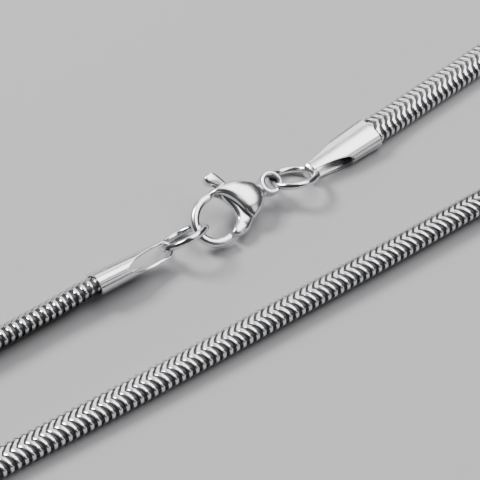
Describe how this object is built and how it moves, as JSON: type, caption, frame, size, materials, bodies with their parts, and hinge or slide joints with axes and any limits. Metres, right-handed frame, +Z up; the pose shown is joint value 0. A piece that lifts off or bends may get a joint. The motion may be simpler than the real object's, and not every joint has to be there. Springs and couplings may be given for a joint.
{
  "type": "snake chain necklace",
  "caption": "Flattened snake chain necklace in polished stainless steel, closed with folded end caps, two jump rings and a lobster clasp, laid on a surface",
  "frame": {"origin": "Middle of the loop in plan, on the surface that the necklace lies on", "axes": "X along the loop, towards the half whose end cap hangs in the clasp's eye. Y across the loop, towards the strand with the clasp. Z up from the surface."},
  "size_m": [0.2381, 0.0315, 0.0045],
  "materials": {
    "steel_links": "polished stainless steel, pressed links",
    "steel_polished": "mirror-polished stainless steel"
  },
  "bodies": {
    "necklace": {"snake_chain": "steel_links", "end_cap_eye_side": "steel_polished", "end_cap_hook_side": "steel_polished", "jump_ring_eye_side": "steel_polished", "jump_ring_hook_side": "steel_polished", "clasp_body": "steel_polished", "lever_rivet": "steel_polished"},
    "lever": {"clasp_lever": "steel_polished"}
  },
  "joints": [
    {"name": "lever_hinge", "type": "hinge", "parent": "necklace", "child": "lever", "pos_m": [0.00211, 0.00573, 0.00175], "axis": [-0.0327, 0.4683, -0.8829], "range_deg": [0, 20], "stiffness_Nm_per_rad": 0.02, "springref_deg": -11.46}
  ]
}
